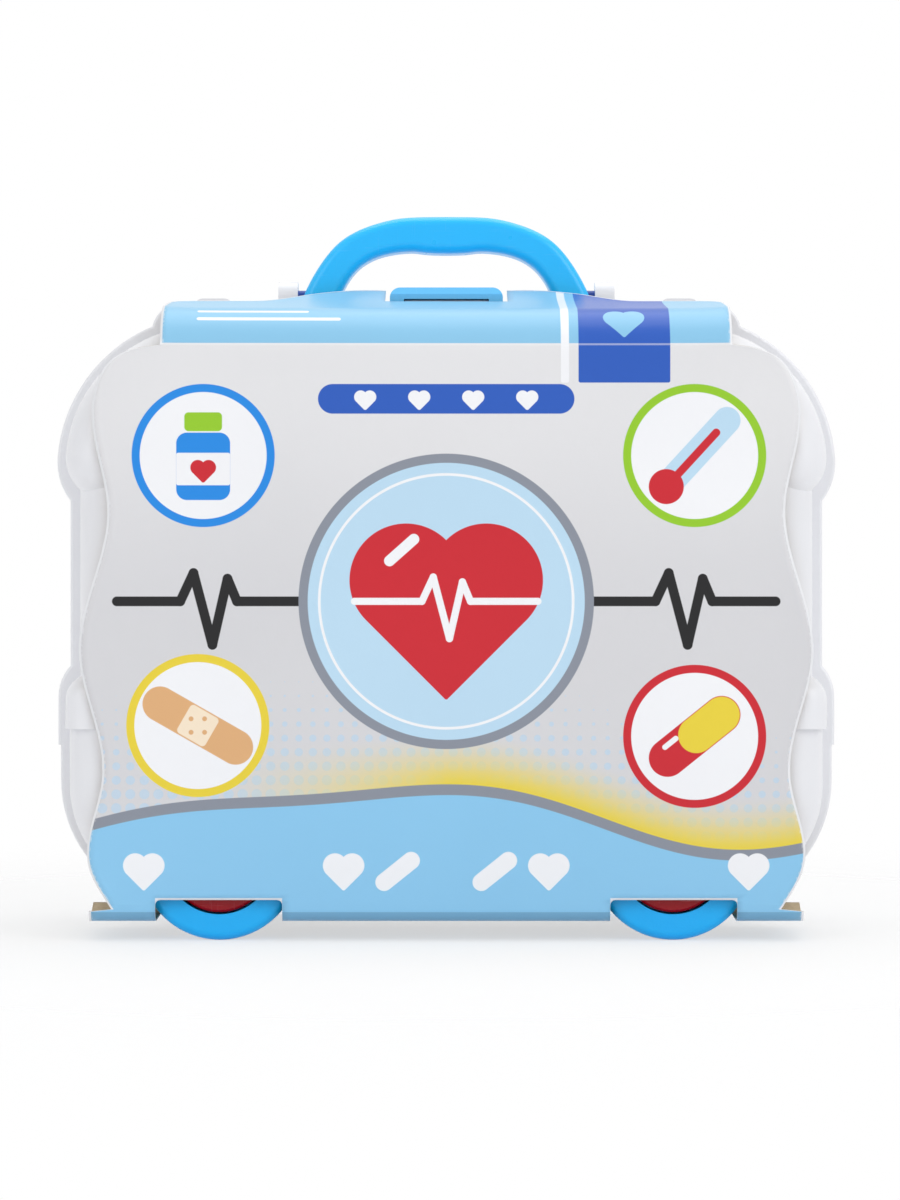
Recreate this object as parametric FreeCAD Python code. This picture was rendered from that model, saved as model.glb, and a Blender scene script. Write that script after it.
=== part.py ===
import FreeCAD, Part
import math
import os

# Toy doctor case: two moulded shells on wheels, with a carry handle, a latch, a tool tray,
# two swing-out side trays and a card sleeve over the lid.
# Millimetres. X points right, Y to the rear and Z up. The shells part on the plane Y = 0,
# and the wheels stand on Z = 0.

# Outline of the case, seen from the front
CASE_WIDTH = 300.8
CASE_BOTTOM = 8.0
CASE_TOP = 237.0
LOBE_CORNER = 60.0
LOBE_TRIM = 0.1
LOBE_TURN = 24.0
WAIST_INSET = 5.1
CAP_INSET = 0.4
CAP_TOP_SHARE = 0.4515
CAP_HEIGHT = 28.4
CAP_CORNER = 18.0
FENDER_INSET = 1.0
BOTTOM_CORNER = 50.0
DECK_INSET = 36.4
DECK_RISE = 4.6
DECK_CORNER = 12.0

# Depths, walls and roundings of the shells
FRONT_DEPTH = 60.0
WAIST_DROP = 3.0
FACE_ROUND = 14.0
CAP_ROUND = 9.0
WALL = 2.0
RIM_PROUD = 8.0
RIM_DEPTH = 5.0
RIM_ROUND = 1.2
PARTING_GAP = 0.3

# Clearances shared by the fits, and how far a cutting shape runs past the piece that it cuts
RUNNING_CLEARANCE = 0.05
SEAT_GAP = 0.3
SIDE_GAP = 0.5
OVERSHOOT = 1.0

# Card sleeve. Its side edge is given by insets from the case's side at shares of the panel's height.
BOARD = 0.6
SLEEVE_GAP = 0.4
SLEEVE_ROLL = 3.6
SLEEVE_BEND = 17.0
SLEEVE_DROP = 2.0
FLAP_ANGLE = 80.0
FLAP_REAR = 5.0
FLAP_INSET = 44.4
FLAP_CORNER = 9.0
FLAP_BOW = 2.5
BOTTOM_FLAP_INSET = 18.0
BOTTOM_FLAP_RISE = 2.0
PANEL_RISE = 4.0
FOLD_RISE = 3.0
LATCH_NOTCH_CLEARANCE = 1.8
LATCH_NOTCH_DROP = 2.2
WHEEL_NOTCH_WIDTH = 47.0
WHEEL_NOTCH_RISE = 3.4
PANEL_EDGE = [(26.4, 0.0), (17.9, 0.077), (22.9, 0.23), (14.4, 0.455), (24.9, 0.708),
              (19.4, 0.9), (26.4, 0.974), (FLAP_INSET, 1.0)]

# Wheels
WHEEL_RADIUS = 30.0
WHEEL_WIDTH = 20.0
WHEEL_INSET = 66.1
WHEEL_SETBACK = 3.0
TREAD_WALL = 9.7
TREAD_ROUND = 3.0
WEB_THICKNESS = 4.0
HUB_BOSS_RADIUS = 7.0
WELL_CLEARANCE = 3.0
CAP_GROOVE = 0.8
HUB_CAP_WALL = 1.8
HUB_CAP_DOME = 2.2
HUB_CAP_SHOULDER = 1.6
AXLE_RADIUS = 3.0
AXLE_HEAD_RADIUS = 5.0
AXLE_HEAD_HEIGHT = 1.5
ARCH_LIP_WIDTH = 3.0
AXLE_BOSS_LENGTH = 6.0

# Carry handle. Its two curves are given by shares of its half width and of its height above the pivot.
HANDLE_WIDTH_SHARE = 0.371
HANDLE_HEIGHT = 30.7
HANDLE_PIVOT_Y = 18.0
HANDLE_PIVOT_RISE = 4.2
HANDLE_DEPTH = 15.0
HANDLE_ROUND = 3.5
HANDLE_OUTER = [(1.0, 0.0), (0.889, 0.379), (0.72, 0.72), (0.441, 0.938), (0.0, 1.0)]
HANDLE_INNER = [(0.738, 0.0), (0.609, 0.352), (0.44, 0.51), (0.23, 0.557), (0.0, 0.531)]
HANDLE_LEAN = 0.4
HANDLE_PIN_RADIUS = 2.2
HANDLE_PIN_BITE = 7.0
HANDLE_FOOT_TRIM = 3.0
HANDLE_SIDE_GAP = 2.4
LUG_WIDTH = 7.6
LUG_RADIUS = 5.5

# Latch
LATCH_WIDTH = 43.4
LATCH_PIVOT_Y = -11.0
LATCH_ARM = 2.6
LATCH_BLOCK_WIDTH = 32.0
LATCH_HEIGHT = 4.5
LATCH_CORNER = 4.0
LATCH_TAIL_HEIGHT = 3.2
LATCH_HOOK_THICKNESS = 2.2
LATCH_HOOK_REACH = 3.4
LATCH_WINDOW_WIDTH = 18.0
LATCH_WINDOW_DEPTH = 4.5
LATCH_PIN_RADIUS = 1.0

# Lid hinge
HINGE_DROP = 1.5
HINGE_SPREAD = 90.0
KNUCKLE_RADIUS = 3.3
KNUCKLE_LENGTH = 14.0
LID_KNUCKLE_LENGTH = 8.0
HINGE_PIN_RADIUS = 1.5

# Strap loops
LOOP_INSET = 59.4
LOOP_WIDTH = 16.0
LOOP_DEPTH = 8.0
LOOP_RISE = 15.3
LOOP_Y = 14.0
LOOP_BAR = 2.5

# Tool tray, with its raised table, wells, slots and screws
TRAY_FLANGE_Y = 1.0
TABLE_HEIGHT = 8.5
TABLE_SIDE_MARGIN = 30.4
TABLE_BOTTOM_MARGIN = 32.0
TABLE_TOP_MARGIN = 25.0
TABLE_CORNER = 38.0
TABLE_ROUND = 5.0
HEART_RADIUS = 19.0
HEART_DROP = 6.0
HEART_DEPTH = 16.0
SOCKET_RADIUS = 13.0
SOCKET_DEPTH = 26.0
SOCKET_INSET = 42.0
SOCKET_RISE = 36.0
SLOT_LENGTH = 34.0
SLOT_WIDTH = 5.0
MIDDLE_SLOT_RISE = 26.0
SPOON_DEPTH = 1.0
SPOON_SPREAD = 88.0
SPOON_DROP = 30.0
SPOON_BOWL_RADIUS = 11.0
SPOON_TIP_INSET = 19.0
SPOON_STEM_WIDTH = 6.0
UPPER_SCREW_INSET = 32.4
UPPER_SCREW_DROP = 34.0
LOWER_SCREW_INSET = 20.4
LOWER_SCREW_RISE = 62.0
SCREW_RADIUS = 1.4
SCREW_LENGTH = 12.0
SCREW_HEAD_RADIUS = 3.2
SCREW_HEAD_HEIGHT = 1.8
SCREW_BOSS_RADIUS = 4.5

# Side trays
WING_HINGE_INSET = 22.4
WING_RAISE = 11.0
WING_HEIGHT = 100.0
WING_REACH = 62.0
WING_DEPTH = 8.0
WING_GAP = 1.1
WING_BARREL_RADIUS = 3.0
WING_PIN_RADIUS = 1.5
WING_EAR_LENGTH = 7.0

# Shelf and pegs inside the lid
SHELF_WIDTH = 92.0
SHELF_RISE = 5.0
SHELF_REACH = 28.0
SHELF_LIP = 9.0
SHELF_BACK_HEIGHT = 20.0
INNER_PEG_SPREAD = 44.0
OUTER_PEG_SPREAD = 100.0
OUTER_PEG_MARGIN = 0.8
INNER_PEG_RAISE = 10.0
PEG_RADIUS = 2.6
PEG_LENGTH = 18.0
PEG_HEAD_RADIUS = 4.2
PEG_HEAD_HEIGHT = 3.0

# Places that follow from the sizes above
FRONT = -1
REAR = 1
CASE_HALF = CASE_WIDTH / 2
REAR_DEPTH = FRONT_DEPTH + SLEEVE_GAP + BOARD
DEPTHS = {FRONT: FRONT_DEPTH, REAR: REAR_DEPTH}
BODY_TOP = CASE_TOP - RIM_PROUD
BODY_ROOT = BODY_TOP - WALL / 2
LOBE_CENTRE_X = CASE_HALF - LOBE_CORNER + LOBE_TRIM
LOBE_CENTRE_Z = CASE_TOP - LOBE_CORNER
TURN_X = CASE_HALF - LOBE_TURN
TURN_Z = LOBE_CENTRE_Z + math.sqrt((LOBE_CORNER - LOBE_TURN) ** 2 - (TURN_X - LOBE_CENTRE_X) ** 2)
TURN_ANGLE = math.atan2(TURN_Z - LOBE_CENTRE_Z, TURN_X - LOBE_CENTRE_X)
CAP_TOP = CASE_TOP * CAP_TOP_SHARE
CAP_CREASE = CAP_TOP - CAP_HEIGHT
WAIST_LOW = CAP_CREASE + CAP_HEIGHT / 4
DECK_TOP = CASE_TOP + DECK_RISE
WHEEL_PLACES = [WHEEL_INSET - CASE_HALF, CASE_HALF - WHEEL_INSET]
WELL_RADIUS = WHEEL_RADIUS + WELL_CLEARANCE
WELL_DEPTH = WHEEL_WIDTH + WHEEL_SETBACK + SEAT_GAP
HUB_CAP_RADIUS = WHEEL_RADIUS - TREAD_WALL - CAP_GROOVE
HANDLE_HALF = CASE_HALF * HANDLE_WIDTH_SHARE
HANDLE_FOOT_INNER = HANDLE_HALF * HANDLE_INNER[0][0]
HANDLE_PIVOT_Z = DECK_TOP + HANDLE_PIVOT_RISE
LUG_X = HANDLE_HALF + HANDLE_SIDE_GAP + LUG_WIDTH / 2
LATCH_UNDERSIDE = DECK_TOP + SIDE_GAP
LATCH_PIVOT_Z = LATCH_UNDERSIDE - LATCH_ARM
LATCH_HOOK_Y = RIM_DEPTH + SEAT_GAP
HINGE_Z = CASE_BOTTOM - HINGE_DROP
HINGE_PLACES = [-HINGE_SPREAD / 2, HINGE_SPREAD / 2]
LOOP_TOP = BODY_TOP + LOOP_RISE
PANEL_BOTTOM = CASE_BOTTOM + PANEL_RISE
ROLL_Y = SLEEVE_ROLL - BOARD - SLEEVE_GAP - FRONT_DEPTH
BEND_Y = SLEEVE_BEND - FRONT_DEPTH
BEND_Z = CASE_TOP - SLEEVE_DROP - SLEEVE_BEND
FOLD_Z = BEND_Z + FOLD_RISE
TABLE_HALF = CASE_HALF - TABLE_SIDE_MARGIN
TABLE_BOTTOM = CASE_BOTTOM + TABLE_BOTTOM_MARGIN
TABLE_TOP = CASE_TOP - TABLE_TOP_MARGIN
TABLE_MIDDLE = (TABLE_BOTTOM + TABLE_TOP) / 2
TABLE_Y = TRAY_FLANGE_Y - TABLE_HEIGHT
HEART_Z = TABLE_MIDDLE - HEART_DROP
SOCKET_X = SOCKET_INSET - TABLE_HALF
SOCKET_Z = TABLE_BOTTOM + SOCKET_RISE
SLOT_PLACES = [(-SOCKET_X, SOCKET_Z), (0, TABLE_BOTTOM + MIDDLE_SLOT_RISE)]
OUTER_PEG_Z = TURN_Z - LOBE_TURN + RIM_PROUD + FACE_ROUND + PEG_RADIUS + OUTER_PEG_MARGIN
SCREW_PLACES = []
PEG_PLACES = []
for side_sign in (-1, 1):
    SCREW_PLACES.append((side_sign * (CASE_HALF - UPPER_SCREW_INSET), CASE_TOP - UPPER_SCREW_DROP))
    SCREW_PLACES.append((side_sign * (CASE_HALF - LOWER_SCREW_INSET), CASE_BOTTOM + LOWER_SCREW_RISE))
    PEG_PLACES.append((side_sign * INNER_PEG_SPREAD / 2, OUTER_PEG_Z + INNER_PEG_RAISE))
    PEG_PLACES.append((side_sign * OUTER_PEG_SPREAD / 2, OUTER_PEG_Z))
WING_HINGE_X = CASE_HALF - WING_HINGE_INSET
WING_Y = TABLE_Y - WING_GAP
WING_Z = TABLE_MIDDLE + WING_RAISE
SHELF_Z = CAP_TOP + SHELF_RISE
TOUCH = 1e-6
AXIS_X = FreeCAD.Vector(1, 0, 0)
AXIS_Y = FreeCAD.Vector(0, 1, 0)
AXIS_Z = FreeCAD.Vector(0, 0, 1)


def point(x, y, z):
    return FreeCAD.Vector(x, y, z)


def block(x_range, y_range, z_range):
    """Box between three pairs of limits."""
    low = point(min(x_range), min(y_range), min(z_range))
    size = [abs(pair[1] - pair[0]) for pair in (x_range, y_range, z_range)]
    return Part.makeBox(size[0], size[1], size[2], low)


def rod(radius, start, end):
    """Round bar between two points."""
    return Part.makeCylinder(radius, (end - start).Length, start, end - start)


def disc(radius, x, z, y_from, y_to):
    """Round bar along Y."""
    return rod(radius, point(x, y_from, z), point(x, y_to, z))


def joined(solids):
    first = solids[0]
    return first.fuse(solids[1:]).removeSplitter()


def rounded_outline(corners, y):
    """Closed wire in the plane Y = y. Each corner is x, z and its rounding radius."""
    starts = []
    ends = []
    edges = []
    for index, (x, z, radius) in enumerate(corners):
        corner = point(x, y, z)
        before = corners[index - 1]
        after = corners[(index + 1) % len(corners)]
        back = (point(before[0], y, before[1]) - corner).normalize()
        onward = (point(after[0], y, after[1]) - corner).normalize()
        half_angle = back.getAngle(onward) / 2
        trim = radius / math.tan(half_angle)
        starts.append(corner + back * trim)
        ends.append(corner + onward * trim)
        if radius > 0:
            bisector = (back + onward).normalize()
            middle = corner + bisector * (radius / math.sin(half_angle) - radius)
            edges.append(Part.Arc(starts[-1], middle, ends[-1]).toShape())
    for index, end in enumerate(ends):
        start = starts[(index + 1) % len(starts)]
        if (start - end).Length > TOUCH:
            edges.append(Part.LineSegment(end, start).toShape())
    return Part.Wire(Part.__sortEdges__(edges))


def polar(x, z, radius, angle, y):
    return point(x + radius * math.cos(angle), y, z + radius * math.sin(angle))


def mirrored_arc(arc_points):
    return [point(-p.x, p.y, p.z) for p in reversed(arc_points)]


def lobe_outline(grow, y):
    """Upper lobe: a large corner arc that runs into a tighter turn towards the waist."""
    corner = LOBE_CORNER + grow
    turn = LOBE_TURN + grow
    corner_angles = [math.pi / 2, (math.pi / 2 + TURN_ANGLE) / 2, TURN_ANGLE]
    turn_angles = [TURN_ANGLE, (TURN_ANGLE - math.pi / 2) / 2, -math.pi / 2]
    corner_arc = [polar(LOBE_CENTRE_X, LOBE_CENTRE_Z, corner, angle, y) for angle in corner_angles]
    turn_arc = [polar(TURN_X, TURN_Z, turn, angle, y) for angle in turn_angles]
    turn_arc[0] = corner_arc[2]
    arcs = [corner_arc, turn_arc, mirrored_arc(turn_arc), mirrored_arc(corner_arc)]
    edges = [Part.Arc(*arc).toShape() for arc in arcs]
    edges.append(Part.LineSegment(turn_arc[2], arcs[2][0]).toShape())
    edges.append(Part.LineSegment(arcs[3][2], corner_arc[0]).toShape())
    return Part.Wire(Part.__sortEdges__(edges)), ()


def waist_outline(grow, y):
    """Narrow middle of the case. Its ends lie inside the lobes."""
    half = CASE_HALF - WAIST_INSET + grow
    corners = [(-half, WAIST_LOW, 0), (half, WAIST_LOW, 0), (half, TURN_Z, 0), (-half, TURN_Z, 0)]
    return rounded_outline(corners, y), (WAIST_LOW, TURN_Z)


def cap_outline(grow, y):
    """Shoulder above the wheels, which ends in the crease over the fender."""
    half = CASE_HALF - CAP_INSET + grow
    low = CAP_CREASE - grow - RIM_PROUD
    top = CAP_TOP + grow
    round_off = CAP_CORNER + grow
    corners = [(-half, low, 0), (half, low, 0), (half, top, round_off), (-half, top, round_off)]
    return rounded_outline(corners, y), (low,)


def fender_outline(grow, y):
    """Lower block round the wheels, with large bottom corners."""
    half = CASE_HALF - CAP_INSET - FENDER_INSET + grow
    low = CASE_BOTTOM - grow
    round_off = BOTTOM_CORNER - FENDER_INSET + grow
    corners = [(-half, low, round_off), (half, low, round_off), (half, WAIST_LOW, 0), (-half, WAIST_LOW, 0)]
    return rounded_outline(corners, y), (WAIST_LOW,)


def deck_outline(grow, y):
    """Raised stretch of the rim along the top, under the latch."""
    half = CASE_HALF - DECK_INSET + grow
    low = LOBE_CENTRE_Z
    top = DECK_TOP + grow
    round_off = DECK_CORNER + grow
    corners = [(-half, low, 0), (half, low, 0), (half, top, round_off), (-half, top, round_off)]
    return rounded_outline(corners, y), (low,)


def band(outline, side, grow, face_depth, mouth_depth, rounding):
    """One band of the case from its mouth out to its rounded face."""
    y_face = side * face_depth
    wire, square_levels = outline(grow, y_face)
    solid = Part.Face(wire).extrude(point(0, side * mouth_depth - y_face, 0))
    edges = []
    for edge in solid.Edges:
        ends = edge.Vertexes
        on_face = all(abs(end.Y - y_face) < TOUCH for end in ends)
        square = any(all(abs(end.Z - level) < TOUCH for end in ends) for level in square_levels)
        if on_face and not square:
            edges.append(edge)
    return solid.makeFillet(rounding, edges)


def case_form(side, inset, mouth_depth):
    """One half of the case as a full solid, its walls moved in by the inset."""
    depth = DEPTHS[side] - inset
    grow = -RIM_PROUD - inset
    bands = [
        (lobe_outline, depth, FACE_ROUND - inset),
        (waist_outline, depth - WAIST_DROP, FACE_ROUND - inset),
        (cap_outline, depth, CAP_ROUND - inset),
        (fender_outline, depth - FENDER_INSET, FACE_ROUND - inset),
    ]
    solids = [band(outline, side, grow, face, mouth_depth, rounding) for outline, face, rounding in bands]
    return joined(solids)


def rim_form(side):
    """The proud rim along the parting line."""
    solids = []
    for outline in (lobe_outline, waist_outline, cap_outline, fender_outline, deck_outline):
        solids.append(band(outline, side, 0, RIM_DEPTH, PARTING_GAP / 2, RIM_ROUND))
    return joined(solids)


def well_floor(side):
    return side * (DEPTHS[side] - WELL_DEPTH)


def with_wheel_wells(shell, full_form, side):
    """Adds a cup for each wheel, an arched lip over it and a boss for its axle."""
    y_face = side * DEPTHS[side]
    y_floor = well_floor(side)
    y_back = y_floor - side * WALL
    y_boss = y_back - side * AXLE_BOSS_LENGTH
    for x in WHEEL_PLACES:
        cup = disc(WELL_RADIUS + WALL, x, WHEEL_RADIUS, y_face, y_back).common(full_form)
        lip = disc(WELL_RADIUS + ARCH_LIP_WIDTH, x, WHEEL_RADIUS, y_face, y_face - side * 2 * FENDER_INSET)
        reach = WELL_RADIUS + ARCH_LIP_WIDTH
        upper_half = block((x - reach, x + reach), (y_face, y_floor), (WHEEL_RADIUS, WHEEL_RADIUS + reach))
        boss = disc(HUB_BOSS_RADIUS, x, WHEEL_RADIUS, y_back, y_boss)
        shell = shell.fuse([cup, lip.common(upper_half), boss])
    for x in WHEEL_PLACES:
        pocket = disc(WELL_RADIUS, x, WHEEL_RADIUS, y_face + side * WALL, y_floor)
        bore_radius = AXLE_RADIUS + RUNNING_CLEARANCE
        bore = disc(bore_radius, x, WHEEL_RADIUS, y_floor + side * WALL, y_boss - side * WALL)
        shell = shell.cut([pocket, bore])
    return shell


def knuckle_ranges(side, centre):
    """The stretches along X that one shell's knuckles take at a hinge."""
    half = KNUCKLE_LENGTH / 2
    if side == REAR:
        return [(centre - half, centre + half)]
    inner = half + SIDE_GAP
    outer = inner + LID_KNUCKLE_LENGTH
    return [(centre - outer, centre - inner), (centre + inner, centre + outer)]


def with_hinge(shell, side):
    """Adds this shell's knuckles under the rim and clears room for those of the other shell."""
    for centre in HINGE_PLACES:
        for x_low, x_high in knuckle_ranges(-side, centre):
            start = point(x_low - SIDE_GAP, 0, HINGE_Z)
            end = point(x_high + SIDE_GAP, 0, HINGE_Z)
            shell = shell.cut(rod(KNUCKLE_RADIUS + SEAT_GAP, start, end))
        for x_low, x_high in knuckle_ranges(side, centre):
            barrel = rod(KNUCKLE_RADIUS, point(x_low, 0, HINGE_Z), point(x_high, 0, HINGE_Z))
            web = block((x_low, x_high), (side * RIM_DEPTH, 0), (HINGE_Z, CASE_BOTTOM + RIM_PROUD))
            shell = shell.fuse([barrel, web])
            start = point(x_low - SIDE_GAP, 0, HINGE_Z)
            end = point(x_high + SIDE_GAP, 0, HINGE_Z)
            shell = shell.cut(rod(HINGE_PIN_RADIUS + RUNNING_CLEARANCE, start, end))
    return shell


def plain_shell(side):
    """One moulded half with its walls, rim, wheel wells and knuckles, and its full outer form."""
    full_form = case_form(side, 0, PARTING_GAP / 2)
    cavity = case_form(side, WALL, 0)
    shell = full_form.fuse(rim_form(side)).cut(cavity)
    shell = with_wheel_wells(shell, full_form, side)
    return with_hinge(shell, side), full_form


def front_shell():
    """Lid: plain shell with the block that carries the latch."""
    half = LATCH_BLOCK_WIDTH / 2
    radius = LATCH_ARM - SEAT_GAP
    axis = [point(-half, LATCH_PIVOT_Y, LATCH_PIVOT_Z), point(half, LATCH_PIVOT_Y, LATCH_PIVOT_Z)]
    y_range = (LATCH_PIVOT_Y - radius, LATCH_PIVOT_Y + radius)
    shell = plain_shell(FRONT)[0]
    post = block((-half, half), y_range, (BODY_ROOT, LATCH_PIVOT_Z))
    bore = rod(LATCH_PIN_RADIUS + RUNNING_CLEARANCE, axis[0] - AXIS_X, axis[1] + AXIS_X)
    shell = shell.fuse([post, rod(radius, axis[0], axis[1])])
    return shell.cut(bore).removeSplitter()


def handle_lug(x):
    half = LUG_WIDTH / 2
    pivot = point(x - half, HANDLE_PIVOT_Y, HANDLE_PIVOT_Z)
    y_range = (HANDLE_PIVOT_Y - LUG_RADIUS, HANDLE_PIVOT_Y + LUG_RADIUS)
    post = block((x - half, x + half), y_range, (BODY_ROOT, HANDLE_PIVOT_Z))
    lug = post.fuse(rod(LUG_RADIUS, pivot, pivot + AXIS_X * LUG_WIDTH))
    bore_end = pivot + AXIS_X * (LUG_WIDTH + OVERSHOOT)
    bore = rod(HANDLE_PIN_RADIUS + RUNNING_CLEARANCE, pivot - AXIS_X * OVERSHOOT, bore_end)
    return lug.cut(bore).removeSplitter()


def strap_loop(x):
    """Arch welded on the top of the rear shell, open from front to back."""
    half = LOOP_WIDTH / 2
    y_front = LOOP_Y - LOOP_DEPTH / 2
    z_root = BODY_ROOT - WALL
    corners = [(x - half, z_root, 0), (x + half, z_root, 0),
               (x + half, LOOP_TOP, half / 2), (x - half, LOOP_TOP, half / 2)]
    arch = Part.Face(rounded_outline(corners, y_front)).extrude(AXIS_Y * LOOP_DEPTH)
    x_range = (x - half + LOOP_BAR, x + half - LOOP_BAR)
    y_range = (y_front - OVERSHOOT, y_front + LOOP_DEPTH + OVERSHOOT)
    gap = block(x_range, y_range, (z_root - OVERSHOOT, LOOP_TOP - LOOP_BAR))
    return arch.cut([gap, case_form(REAR, 0, PARTING_GAP / 2)])


def screw_boss(x, z):
    y_flange = TRAY_FLANGE_Y + WALL
    boss = disc(SCREW_BOSS_RADIUS, x, z, y_flange, REAR_DEPTH - WALL / 2)
    hole = disc(SCREW_RADIUS + RUNNING_CLEARANCE, x, z, y_flange - OVERSHOOT, y_flange + SCREW_LENGTH)
    return boss, hole


def rear_shell():
    """Base: plain shell with handle lugs and the bosses under the tool tray."""
    shell, full_form = plain_shell(REAR)
    bosses = []
    holes = []
    for x, z in SCREW_PLACES:
        boss, hole = screw_boss(x, z)
        bosses.append(boss.common(full_form))
        holes.append(hole)
    shell = shell.fuse([handle_lug(-LUG_X), handle_lug(LUG_X)] + bosses)
    return shell.cut(holes).removeSplitter()


def handle():
    """Arched grip with round feet on its pivot pins."""
    y_front = HANDLE_PIVOT_Y - HANDLE_DEPTH / 2
    edges = []
    for half_curve in (HANDLE_OUTER, HANDLE_INNER):
        for sign in (-1, 1):
            curve = Part.BSplineCurve()
            places = []
            for width_share, height_share in half_curve:
                z = HANDLE_PIVOT_Z + height_share * HANDLE_HEIGHT
                places.append(point(sign * width_share * HANDLE_HALF, y_front, z))
            lean = point(-sign * HANDLE_LEAN, 0, 1)
            curve.interpolate(Points=places, InitialTangent=lean, FinalTangent=AXIS_X * -sign)
            edges.append(curve.toShape())
    for sign in (-1, 1):
        foot = [point(sign * x, y_front, HANDLE_PIVOT_Z) for x in (HANDLE_HALF, HANDLE_FOOT_INNER)]
        edges.append(Part.LineSegment(foot[0], foot[1]).toShape())
    arch = Part.Face(Part.Wire(Part.__sortEdges__(edges))).extrude(AXIS_Y * HANDLE_DEPTH)
    y_faces = (y_front, y_front + HANDLE_DEPTH)
    long_edges = []
    for edge in arch.Edges:
        on_face = any(all(abs(v.Y - y) < TOUCH for v in edge.Vertexes) for y in y_faces)
        if on_face and edge.Length > HANDLE_HALF / 2:
            long_edges.append(edge)
    grip = arch.makeFillet(HANDLE_ROUND, long_edges)
    for sign in (-1, 1):
        inner = point(sign * HANDLE_FOOT_INNER, HANDLE_PIVOT_Y, HANDLE_PIVOT_Z)
        outer = point(sign * (HANDLE_HALF - HANDLE_FOOT_TRIM), HANDLE_PIVOT_Y, HANDLE_PIVOT_Z)
        foot = rod(HANDLE_DEPTH / 2, inner, outer)
        rims = [edge for edge in foot.Edges if edge.Curve.TypeId == "Part::GeomCircle"]
        grip = grip.fuse(foot.makeFillet(HANDLE_ROUND - SEAT_GAP, rims))
    for sign in (-1, 1):
        outer = point(sign * HANDLE_HALF, HANDLE_PIVOT_Y, HANDLE_PIVOT_Z)
        bottom = outer - AXIS_X * (sign * (HANDLE_PIN_BITE + SIDE_GAP))
        grip = grip.cut(rod(HANDLE_PIN_RADIUS + RUNNING_CLEARANCE, bottom, outer + AXIS_X * sign))
    return grip.removeSplitter()


def handle_pin(sign):
    start = point(sign * (HANDLE_HALF - HANDLE_PIN_BITE), HANDLE_PIVOT_Y, HANDLE_PIVOT_Z)
    end = point(sign * (LUG_X + LUG_WIDTH / 2), HANDLE_PIVOT_Y, HANDLE_PIVOT_Z)
    return rod(HANDLE_PIN_RADIUS, start, end)


def latch():
    """Latch plate that crosses the parting line, with a hook behind the rear rim."""
    half = LATCH_WIDTH / 2
    y_front = LATCH_PIVOT_Y - LATCH_ARM
    y_back = LATCH_HOOK_Y + LATCH_HOOK_THICKNESS
    top = LATCH_UNDERSIDE + LATCH_HEIGHT
    low = DECK_TOP - LATCH_HOOK_REACH
    side_view = [
        (y_front, LATCH_UNDERSIDE),
        (y_front, top - LATCH_ARM),
        (y_front + LATCH_ARM / 2, top),
        (-LATCH_ARM, top),
        (y_back, LATCH_UNDERSIDE + LATCH_TAIL_HEIGHT),
        (y_back, low),
        (LATCH_HOOK_Y, low),
        (LATCH_HOOK_Y, LATCH_UNDERSIDE),
    ]
    points = [point(-half, y, z) for y, z in side_view]
    plate = Part.Face(Part.makePolygon(points + points[:1])).extrude(AXIS_X * LATCH_WIDTH)
    corners = [(-half, low, 0), (half, low, 0), (half, top, LATCH_CORNER), (-half, top, LATCH_CORNER)]
    plate = plate.common(Part.Face(rounded_outline(corners, y_front)).extrude(AXIS_Y * (y_back - y_front)))
    window_half = LATCH_WINDOW_WIDTH / 2
    y_window = (-LATCH_WINDOW_DEPTH / 2, LATCH_WINDOW_DEPTH / 2)
    z_window = (LATCH_UNDERSIDE - OVERSHOOT, top + OVERSHOOT)
    plate = plate.cut(block((-window_half, window_half), y_window, z_window))
    ear_inner = LATCH_BLOCK_WIDTH / 2 + SEAT_GAP
    for sign in (-1, 1):
        inner = point(sign * ear_inner, LATCH_PIVOT_Y, LATCH_PIVOT_Z)
        outer = point(sign * half, LATCH_PIVOT_Y, LATCH_PIVOT_Z)
        y_range = (LATCH_PIVOT_Y - LATCH_ARM, LATCH_PIVOT_Y + LATCH_ARM)
        cheek = block((inner.x, outer.x), y_range, (LATCH_PIVOT_Z, LATCH_UNDERSIDE + WALL / 2))
        plate = plate.fuse([rod(LATCH_ARM, inner, outer), cheek])
    ends = [point(sign * (half + OVERSHOOT), LATCH_PIVOT_Y, LATCH_PIVOT_Z) for sign in (-1, 1)]
    return plate.cut(rod(LATCH_PIN_RADIUS + RUNNING_CLEARANCE, ends[0], ends[1])).removeSplitter()


def latch_pin():
    half = LATCH_WIDTH / 2 - SEAT_GAP
    ends = [point(sign * half, LATCH_PIVOT_Y, LATCH_PIVOT_Z) for sign in (-1, 1)]
    return rod(LATCH_PIN_RADIUS, ends[0], ends[1])


def lid_hinge_pin(centre):
    half = KNUCKLE_LENGTH / 2 + SIDE_GAP + LID_KNUCKLE_LENGTH
    return rod(HINGE_PIN_RADIUS, point(centre - half, 0, HINGE_Z), point(centre + half, 0, HINGE_Z))


def turned(profile, x, side):
    """Solid of revolution round a wheel's axis. The profile is (radius, depth) pairs."""
    points = [point(x + radius, side * depth, WHEEL_RADIUS) for radius, depth in profile]
    face = Part.Face(Part.makePolygon(points + points[:1]))
    return face.revolve(point(x, 0, WHEEL_RADIUS), AXIS_Y, 360)


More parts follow.
